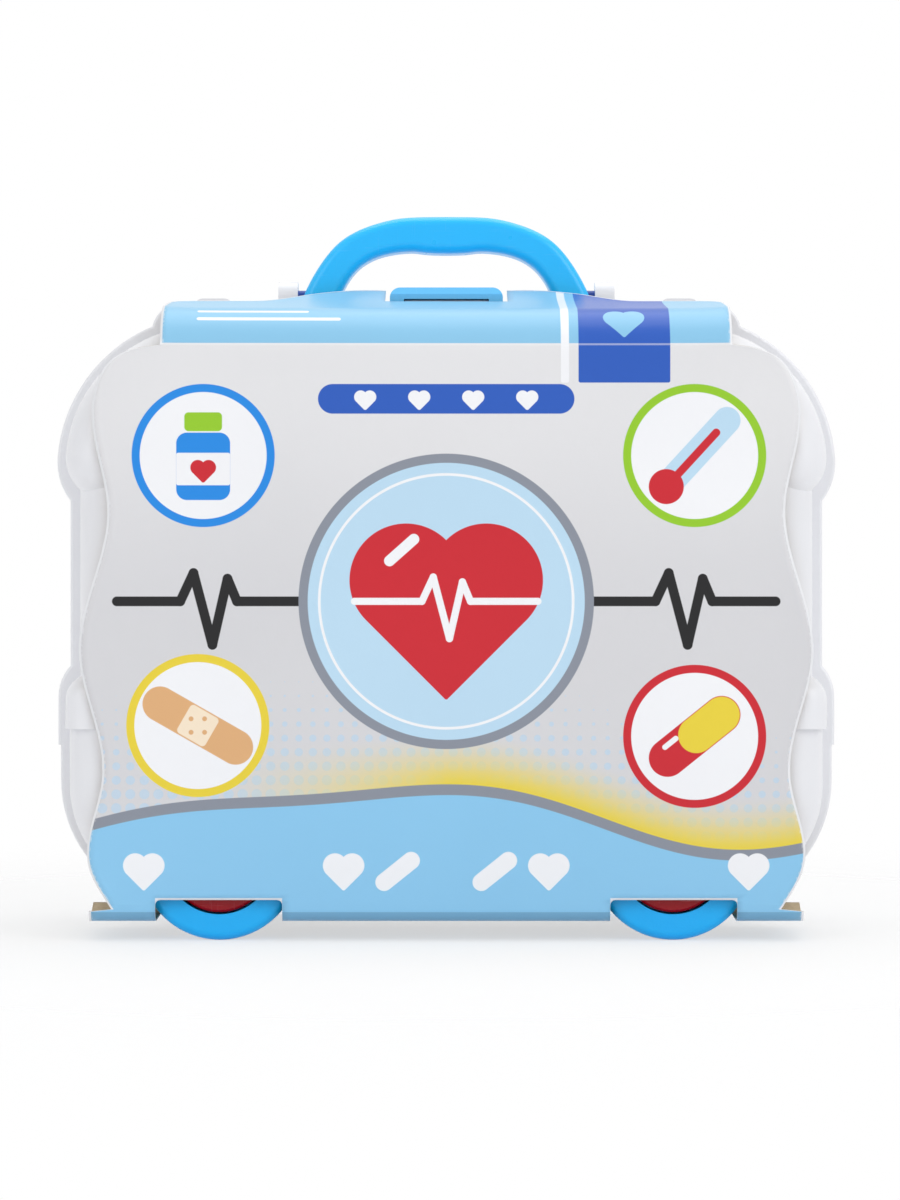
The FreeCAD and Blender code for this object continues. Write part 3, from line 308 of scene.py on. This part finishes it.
def card_line(run):
    """Side view of the card, by its run along the surface in mm: a straight bottom flap, a quarter roll, the
    upright panel, a bend and a straight rising flap. Gives y, z and the outward normal's y, z."""
    roll = np.clip((PANEL_LOW - run) / ROLL_RADIUS, 0, math.pi / 2)
    bend = np.clip((run - PANEL_HIGH) / BEND_RADIUS, 0, FLAP_ANGLE)
    tail = np.clip(ROLL_END - run, 0, None)
    flap = np.clip(run - BEND_END, 0, None)
    rolled = ROLL_RADIUS * (1 - np.cos(roll)) + tail * math.cos(TAIL_TILT)
    bent = BEND_RADIUS * (1 - np.cos(bend)) + flap * math.sin(FLAP_ANGLE)
    y = PANEL_Y + rolled + bent
    z = np.clip(run, PANEL_LOW, PANEL_HIGH) - ROLL_RADIUS * np.sin(roll) + tail * math.sin(TAIL_TILT)
    z = z + BEND_RADIUS * np.sin(bend) + flap * math.cos(FLAP_ANGLE)
    return y, z, -np.cos(roll) * np.cos(bend), np.sin(bend) - np.sin(roll)


def eased(share):
    """Goes from 0 to 1 on a smooth S: three times the square less twice the cube."""
    return share * share * (3 - 2 * share)


def flap_end(x):
    """Run of the top flap's rear edge: straight in the middle, stepped down in an S at the sides, with round
    corners."""
    side = np.abs(x)
    corner = np.clip(side - FLAP_HALF + FLAP_CORNER, 0, FLAP_CORNER)
    fall = FLAP_FALL * eased(np.clip((side - FALL_START) / FALL_WIDTH, 0, 1))
    return FLAP_END - fall - FLAP_CORNER + np.sqrt(FLAP_CORNER**2 - corner**2)


def rows_at(half, runs):
    """Rows of the card's grid: half its width beside each run."""
    return np.stack([np.broadcast_to(half, runs.shape), runs], 1)


def card_sheet():
    """Grid over the card: rows follow its run, columns its width between break lines that pass through the
    notches' edges. Faces inside a notch are left out, and free edges lift a little off the case."""
    edge = spline(PANEL_EDGE, EDGE_STEP)
    corner_levels = WHEEL_NOTCH_TOP - NOTCH_CORNER * np.array(NOTCH_CORNER_SHARES)
    levels = np.sort(np.append(edge[:, 1], corner_levels))
    flare = np.linspace(BOTTOM_FLAP_FLARE, 0, TAIL_ROWS)
    tail = np.linspace(TAIL_END, ROLL_END - TAIL_JOINT, TAIL_ROWS)
    roll = np.linspace(ROLL_END, PANEL_LOW, ROLL_ROWS + 1)[:-1]
    bend = np.linspace(PANEL_EDGE[-1][1], BEND_END, BEND_ROWS + 1)[1:]
    flap = np.linspace(BEND_END, LATCH_NOTCH_START, FLAP_ROWS + 1)[1:]
    rows = [rows_at(BOTTOM_FLAP_HALF + flare, tail), rows_at(BOTTOM_FLAP_HALF, roll),
            rows_at(np.interp(levels, edge[:, 1], edge[:, 0]), levels),
            rows_at(FLAP_HALF, bend), rows_at(FLAP_HALF, flap)]
    half, run = np.concatenate(rows).T
    rear = np.linspace(0, 1, REAR_ROWS + 1)[1:]
    half = np.append(half, np.full(rear.size, FLAP_HALF))
    run = np.append(run, np.full(rear.size, LATCH_NOTCH_START))
    beyond = np.append(np.zeros(half.size - rear.size), rear)
    widen = np.where(run > WHEEL_NOTCH_TOP, half / PANEL_EDGE[1][0], 1.0)
    drop = np.clip(WHEEL_NOTCH_TOP - run, 0, NOTCH_CORNER)
    corner = NOTCH_CORNER - np.sqrt(NOTCH_CORNER**2 - (NOTCH_CORNER - drop) ** 2)
    corner = np.where(run < WHEEL_NOTCH_TOP + ROW_SLACK, corner, 0.0)
    inner, outer = WHEEL_NOTCH[0] * widen + corner, WHEEL_NOTCH[1] * widen - corner
    notch = np.full(half.size, LATCH_NOTCH_HALF)
    breaks = np.stack([-half, -outer, -inner, -notch, notch, inner, outer, half], 1)
    counts = np.array(COLUMNS)
    strip = np.repeat(np.arange(counts.size), counts)
    share = (np.arange(counts.sum()) - np.repeat(np.cumsum(counts) - counts, counts)) / counts[strip]
    x = np.append(breaks[:, strip] * (1 - share) + breaks[:, strip + 1] * share, breaks[:, -1:], 1)
    s = run[:, None] + beyond[:, None] * (flap_end(x) - LATCH_NOTCH_START)
    y, z, out_y, out_z = card_line(s)
    margin = np.minimum(half[:, None] - np.abs(x), np.minimum(s - TAIL_END, flap_end(x) - s))
    wave = np.sin(x / WAVE_ACROSS + WAVE_SHIFT) * np.sin(s / WAVE_ALONG)
    lift = WAVE_LIFT * (1 + wave) + EDGE_LIFT * np.exp(-margin / EDGE_REACH) * (s > PANEL_LOW)
    lift += CURL_LIFT * beyond[:, None] ** 2 * np.exp(-(((np.abs(x) - CURL_PLACE) / CURL_WIDTH) ** 2))
    side = eased(np.clip((np.abs(x) - SAG_START) / SAG_WIDTH, 0, 1))
    lift -= FLAP_SAG * side * np.clip((s - BEND_END) / SAG_RUN, 0, 1)
    points = np.stack([x, y + lift * out_y, z + lift * out_z], 2)
    index = np.arange(x.size).reshape(x.shape)
    faces = np.stack([index[:-1, :-1], index[:-1, 1:], index[1:, 1:], index[1:, :-1]], 2)
    wheel_gap = np.isin(strip, (1, 5))[None, :] & (run[1:, None] <= WHEEL_NOTCH_TOP + ROW_SLACK)
    latch_gap = (strip == 3)[None, :] & (beyond[1:, None] > 0)
    faces = faces[~(wheel_gap | latch_gap)]
    used, faces = np.unique(faces, return_inverse=True)
    printed = np.stack([x, s, margin], 2).reshape(-1, 3)
    return points.reshape(-1, 3)[used] / 1000, faces.reshape(-1, 4), printed[used]


sleeve_points, sleeve_faces, sleeve_print = card_sheet()
sleeve_mesh = bpy.data.meshes.new("printed_sleeve")
sleeve_mesh.from_pydata(sleeve_points.tolist(), [], sleeve_faces.tolist())
sleeve_mesh.attributes.new("print_place", "FLOAT_VECTOR", "POINT")
sleeve_mesh.attributes["print_place"].data.foreach_set("vector", sleeve_print.ravel())
sleeve_mesh.polygons.foreach_set("use_smooth", np.ones(len(sleeve_faces), bool))
sleeve = bpy.data.objects.new("printed_sleeve", sleeve_mesh)
bpy.context.scene.collection.objects.link(sleeve)
thickness = sleeve.modifiers.new("board", "SOLIDIFY")
thickness.thickness = BOARD / 1000
thickness.offset = 0.0
thickness.material_offset = 1
thickness.material_offset_rim = 2
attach(sleeve, "sleeve")
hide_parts("card_sleeve")

# Print on the sleeve: a plain generic design in flat inks, drawn in millimetres across the card and along its
# run. Each motif is a mask and an ink, laid over the ones before it, under a thin varnish. The bare paper
# under the motifs is painted lighter towards the top as painted light, and the rolled bottom fold is painted
# darker as painted shade.

card = Finish("card_print_and_painted_light", {"IOR": 1.5, "Specular IOR Level": 0.35,
                             "Coat Weight": 0.06, "Coat Roughness": 0.12})
card_at = card.node("ShaderNodeAttribute", {"attribute_name": "print_place"}, {}, "Vector")
at = card.node("ShaderNodeVectorMath", {"operation": "MULTIPLY"}, {0: card_at, 1: (1, 1, 0)})
across, up, margin = (card.node("ShaderNodeSeparateXYZ", {}, {0: card_at}, axis) for axis in "XYZ")
INK_EDGE = 0.25


def vector(operation, first, second, output="Vector"):
    return card.node("ShaderNodeVectorMath", {"operation": operation}, {0: first, 1: second}, output)


def inside(distance):
    """1 where a distance in mm is below 0, with a soft ink edge."""
    settings = {"operation": "MULTIPLY_ADD", "use_clamp": True}
    return card.node("ShaderNodeMath", settings, {0: distance, 1: -1 / INK_EDGE, 2: 0.5})


def far(x, z):
    """Distance from a point of the print."""
    return vector("DISTANCE", at, (x, z, 0), "Value")


def spot(x, z, radius):
    return inside(far(x, z) - radius)


def ring(x, z, radius, width):
    return inside(abs(far(x, z) - radius) - width / 2)


def bar(x, z, to_x, to_z, width):
    """Round-ended bar: the distance to the nearest point of its middle line, less half its width."""
    line = Vector((to_x - x, to_z - z, 0))
    away = vector("SUBTRACT", at, (x, z, 0))
    share = vector("DOT_PRODUCT", away, line / line.length_squared, "Value")
    held = card.node("ShaderNodeClamp", {}, {"Value": share})
    near = card.node("ShaderNodeVectorMath", {"operation": "SCALE"}, {0: line, "Scale": held})
    return inside(vector("DISTANCE", away, near, "Value") - width / 2)


def tile(x, z, width, height, corner, turn):
    """Rounded rectangle: the length of what stands out of its inner box, less the corner's radius."""
    turned = card.node("ShaderNodeVectorRotate", {"rotation_type": "Z_AXIS"},
                       {"Vector": at, "Center": (x, z, 0), "Angle": -math.radians(turn)})
    away = vector("ABSOLUTE", vector("SUBTRACT", turned, (x, z, 0)), (0, 0, 0))
    out = vector("SUBTRACT", away, (width / 2 - corner, height / 2 - corner, 0))
    out = vector("MAXIMUM", out, (0, 0, 0))
    return inside(vector("LENGTH", out, (0, 0, 0), "Value") - corner)


def heart(x, z, radius):
    """A square on its corner with two round lobes."""
    side = radius / math.sqrt(2)
    lobes = spot(x - side, z + side, radius).largest(spot(x + side, z + side, radius))
    return lobes.largest(tile(x, z, 2 * radius, 2 * radius, 0.8, 45))


def heartbeat(x, z, size, reach, width, ink):
    """A level line with one beat in it: bars joined end to end, the beat's points scaled by its size."""
    beat = [(-0.75, 0), (-0.4, 0.75), (0.1, -1.15), (0.5, 0.6), (0.75, 0)]
    line = [(x - reach, z)] + [(x + size * a, z + size * b) for a, b in beat] + [(x + reach, z)]
    return [(bar(*start, *end, width), ink) for start, end in zip(line, line[1:])]


def framed(x, z, radius, ink):
    """A white disc in a coloured ring."""
    return [(spot(x, z, radius), WHITE), (ring(x, z, radius, 3.0), ink)]


def thermometer(x, z):
    return [(bar(x - 11, z - 12, x + 12, z + 13, 10), PALE_BLUE),
            (bar(x - 9, z - 10, x + 8, z + 8.5, 3), RED),
            (spot(x - 10.5, z - 11.5, 6.5), RED)]


def bottle(x, z):
    return [(tile(x, z - 4, 20, 25, 4, 0), BRIGHT_BLUE), (tile(x, z - 5, 20, 12, 0.8, 0), WHITE),
            (heart(x, z - 6.4, 2.8), RED), (tile(x, z + 12.5, 14, 7, 1.6, 0), LIME)]


def plaster(x, z):
    grid = [(-2.5, -2.5), (-2.5, 2.5), (2.5, -2.5), (2.5, 2.5)]
    strip = [(bar(x - 14, z + 8, x + 14, z - 8, 13), TAN), (tile(x, z, 12, 12, 1.5, -30), CREAM)]
    return strip + [(spot(x + a, z + b, 0.9), TAN) for a, b in grid]


def capsule(x, z):
    return [(bar(x - 10, z - 8, x + 10, z + 8, 14), RED),
            (bar(x + 0.6, z + 0.5, x + 10, z + 8, 13.4), YELLOW),
            (bar(x - 11, z - 4, x - 7, z - 0.8, 2), WHITE)]


# The two paper colours are painted light: the paper is darker low on the panel and lighter near its top.
PAPER_PAINTED_LIT = screen(230, 230, 232)
PAPER_PAINTED_DIM = screen(216, 216, 219)
SKY = screen(140, 199, 233)
FIELD = screen(142, 203, 240)
# Painted shade for the rolled bottom fold, which faces down.
FOLD_PAINTED_SHADE = screen(92, 140, 172)
DEEP_BLUE = screen(40, 92, 190)
RING_GREY = screen(140, 146, 158)
BLACK = screen(18, 18, 21)
RED = screen(206, 32, 46)
LIME = screen(150, 204, 40)
YELLOW = screen(236, 212, 60)
BRIGHT_BLUE = screen(30, 140, 230)
PALE_BLUE = screen(190, 222, 243)
DOT_BLUE = screen(198, 216, 232)
WHITE = screen(246, 247, 250)
CREAM = screen(250, 232, 206)
TAN = screen(226, 176, 124)

SHORE_Z, SWELL_HEIGHT, RIPPLE_HEIGHT, SHORE_LINE = 44.0, 11.0, 3.5, 4.0
# Runs in mm over which the paper is painted lighter upwards, as painted light from above.
PAPER_PAINTED_LIGHT_RUNS = (120.0, 205.0)
FLAP_INK_START, CREASE_RUN, CREASE_HALF, FOLD_PAINTED_SHADE_TOP = 221.6, 221.2, 0.35, 11.0
TRIM_WIDTH, NOTCH_TRIM, RUB_WIDTH = 0.8, 0.7, 1.3
DOT_PITCH, DOT_RADIUS = 5.2, 1.9
swell = card.node("ShaderNodeMath", {"operation": "SINE"}, {0: across * 0.021 + 2.2})
ripple = card.node("ShaderNodeMath", {"operation": "SINE"}, {0: across * 0.043 + 0.4})
shore = up - swell * SWELL_HEIGHT - ripple * RIPPLE_HEIGHT - SHORE_Z
cell = vector("FRACTION", vector("MULTIPLY", at, (1 / DOT_PITCH, 1 / DOT_PITCH, 0)), (0, 0, 0))
to_dot = vector("DISTANCE", cell, (0.5, 0.5, 0), "Value") * DOT_PITCH
# Painted light: the bare paper turns lighter towards the top of the panel, as if lit more from above.
ink = card.mix(card.slope(up, *PAPER_PAINTED_LIGHT_RUNS), PAPER_PAINTED_DIM, PAPER_PAINTED_LIT)
ink = card.mix(inside(to_dot - DOT_RADIUS + card.slope(shore, SHORE_LINE, 62.0) * 2.1), ink, DOT_BLUE)
ink = card.mix(card.slope(shore, 24.0, 2.0) * card.above(across, -40.0, 0.012), ink, YELLOW)
ink = card.mix(inside(shore - SHORE_LINE), ink, RING_GREY)
ink = card.mix(inside(shore), ink, FIELD)
ink = card.mix(inside(up - FLAP_INK_START), SKY, ink)

BEAT_X, BEAT_Z, BEAT_REACH = 88, 126, 34
DISC_RADIUS, PICTURE_RADIUS = 53, 25
BAND_Z, FIELD_Z = 201, 25
STRIPE_X, STRIPE_EDGE_X, STRIPE_Z, STRIPE_LENGTH = 66, 44, 252, 90
PICTURES = [(-90, 180, BRIGHT_BLUE, bottle), (92, 180, LIME, thermometer),
            (-92, 80, YELLOW, plaster), (92, 76, RED, capsule)]
artwork = []
for x in (-BEAT_X, BEAT_X):
    artwork += heartbeat(x, BEAT_Z, 14, BEAT_REACH, 3.6, BLACK)
artwork += [(spot(0, BEAT_Z, DISC_RADIUS), PALE_BLUE), (ring(0, BEAT_Z, DISC_RADIUS, 3.4), RING_GREY),
            (ring(0, BEAT_Z, DISC_RADIUS - 6, 1.0), WHITE), (heart(0, BEAT_Z - 7, 21), RED),
            (bar(-21, 141, -12, 149, 4.0), WHITE)]
artwork += heartbeat(0, BEAT_Z, 12, BEAT_REACH, 2.6, WHITE)
for x, z, frame_ink, motif in PICTURES:
    artwork += framed(x, z, PICTURE_RADIUS, frame_ink) + motif(x, z)
artwork.append((bar(-42, BAND_Z, 42, BAND_Z, 11), DEEP_BLUE))
artwork += [(heart(x, BAND_Z - 1, 2.4), WHITE) for x in (-30, -10, 10, 30)]
artwork += [(heart(x, FIELD_Z, 4.5), WHITE) for x in (-112, -38, 38, 112)]
artwork += [(bar(x - 5, FIELD_Z - 3, x + 5, FIELD_Z + 5, 6.5), WHITE) for x in (-18, 18)]
artwork += [(tile(STRIPE_X, STRIPE_Z, 34, STRIPE_LENGTH, 0.8, 0), DEEP_BLUE),
            (tile(STRIPE_EDGE_X, STRIPE_Z, 3, STRIPE_LENGTH, 0.8, 0), WHITE),
            (heart(STRIPE_X, 230, 4.5), SKY)]
artwork += [(bar(-92, z, to_x, z, 1.6), WHITE) for z, to_x in ((232, -40), (237, -52))]
for mask, colour in artwork:
    ink = card.mix(mask, ink, colour)

fibre = card.noise(card.place(), 700.0, 4.0)
crease = inside(abs(up - CREASE_RUN) - CREASE_HALF)
notch_side = abs(abs(across) - sum(WHEEL_NOTCH) / 2) - (WHEEL_NOTCH[1] - WHEEL_NOTCH[0]) / 2
notch_trim = inside(up - WHEEL_NOTCH_TOP - NOTCH_TRIM) * inside(notch_side)
trimmed = inside(margin - TRIM_WIDTH).largest(notch_trim)
rubbed = inside(margin - RUB_WIDTH) * card.above(fibre, 0.55, 7.0)
# Painted shade: below a run of 11 mm, where the bottom fold rolls under, the print is mixed halfway towards a
# deeper blue.
ink = card.mix(inside(up - FOLD_PAINTED_SHADE_TOP) * 0.5, ink, FOLD_PAINTED_SHADE)
ink = card.mix(trimmed.largest(crease * 0.35 + rubbed * 0.4), ink, WHITE)
ink = card.mix(card.noise(card.place(), 11.0, 2.0) * 0.10, ink, RING_GREY, "MULTIPLY")
card.feed(card.shader, {"Base Color": ink, "Roughness": 0.30 + fibre * 0.10 + rubbed * 0.25,
                        "Normal": card.bump(fibre + crease * -1.5, 0.0002, 0.12)})

board = Finish("raw_board", {"IOR": 1.45, "Roughness": 0.85})
pulp = board.noise(board.place(), 420.0, 6.0)
fleck = board.above(board.noise(board.place(), 1300.0, 3.0), 0.66, 10.0)
board_tone = board.mix(pulp, screen(208, 188, 154), screen(176, 156, 124))
board_tone = board.mix(fleck * 0.5, board_tone, screen(110, 96, 78))
board.feed(board.shader, {"Base Color": board_tone, "Normal": board.bump(pulp + fleck * 0.5, 0.0003, 0.4)})

cut = Finish("cut_edge", {"IOR": 1.45, "Roughness": 0.9})
layers = cut.noise(cut.place(), 900.0, 4.0)
cut.feed(cut.shader, {"Base Color": cut.mix(layers, screen(230, 228, 224), screen(190, 184, 176)),
                      "Normal": cut.bump(layers, 0.0002, 0.5)})
for finish in (card, board, cut):
    sleeve_mesh.materials.append(finish.material)

# Studio: a pale floor that fades into the white of the room and keeps a soft shadow, two large soft lamps and
# one overhead, and a level camera at the height of the case's middle. The floor is partly clear, because the
# lid opens below it when the base is held upright.


def shown(weave):
    """1 on rays that show a surface to the camera, straight or by gloss or glass, and 0 on rays of light."""
    kinds = ("Is Camera Ray", "Is Glossy Ray", "Is Transmission Ray")
    straight, glossy, through = (weave.node("ShaderNodeLightPath", {}, {}, kind) for kind in kinds)
    return straight.largest(glossy).largest(through)


FLOOR_HALF, FLOOR_CLEAR, FLOOR_FADE = 6.0, 0.6, (0.15, 0.55)
AMBIENT = 0.6
floor_corners = [(x * FLOOR_HALF, y * FLOOR_HALF, 0) for x, y in ((-1, -1), (1, -1), (1, 1), (-1, 1))]
floor_mesh = bpy.data.meshes.new("floor")
floor_mesh.from_pydata(floor_corners, [], [(0, 1, 2, 3)])
floor = bpy.data.objects.new("floor", floor_mesh)
bpy.context.scene.collection.objects.link(floor)
pale_floor = Finish("pale_floor", {"Roughness": 0.7, "Base Color": screen(244, 244, 245),
                                   "Specular IOR Level": 0.1})
reach = pale_floor.node("ShaderNodeVectorMath", {"operation": "LENGTH"}, {0: pale_floor.place()}, "Value")
clear = pale_floor.node("ShaderNodeBsdfTransparent", {}, {"Color": (1, 1, 1, 1)})
lamp_rays = pale_floor.node("ShaderNodeLightPath", {}, {}, "Is Shadow Ray")
fade = FLOOR_CLEAR + pale_floor.slope(reach, *FLOOR_FADE) * (1 - FLOOR_CLEAR)
clearness = (fade * shown(pale_floor)).largest(lamp_rays)
lit_floor = Thread(pale_floor, pale_floor.shader.outputs[0])
blend = pale_floor.node("ShaderNodeMixShader", {}, {0: clearness, 1: lit_floor, 2: clear})
pale_floor.feed(pale_floor.tree.nodes["Material Output"], {"Surface": blend})
floor_mesh.materials.append(pale_floor.material)

world = bpy.data.worlds.new("room")
bpy.context.scene.world = world
world.use_nodes = True
room = Weave(world.node_tree)
ambient = room.node("ShaderNodeBackground", {}, {"Color": (1, 1, 1, 1), "Strength": AMBIENT})
backdrop = room.node("ShaderNodeBackground", {}, {"Color": (1, 1, 1, 1), "Strength": 1.0})
surround = room.node("ShaderNodeMixShader", {}, {0: shown(room), 1: ambient, 2: backdrop})
room.feed(room.tree.nodes["World Output"], {"Surface": surround})

AIM = Vector((0, 0, 0.13))
LAMPS = [("key", (1.5, -1.3, 1.2), 1.4, 12.4), ("fill", (-1.3, -1.4, 0.8), 1.2, 6.0),
         ("overhead", (0.1, 0.2, 1.7), 1.6, 11.5)]
for name, lamp_at, size, power in LAMPS:
    lamp = bpy.data.lights.new(name, "AREA")
    lamp.shape = "DISK"
    lamp.size = size
    lamp.energy = power
    lamp_object = bpy.data.objects.new(name, lamp)
    lamp_object.location = lamp_at
    lamp_object.rotation_euler = (AIM - Vector(lamp_at)).to_track_quat("-Z", "Y").to_euler()
    bpy.context.scene.collection.objects.link(lamp_object)

camera = bpy.data.cameras.new("camera")
camera.sensor_width = 36.0
camera.lens = 105.3
camera_object = bpy.data.objects.new("camera", camera)
camera_object.location = (0.0014, -1.361, 0.1265)
camera_object.rotation_euler = (math.pi / 2, 0, 0)
bpy.context.scene.collection.objects.link(camera_object)
bpy.context.scene.camera = camera_object
bpy.context.scene.view_settings.view_transform = "Standard"
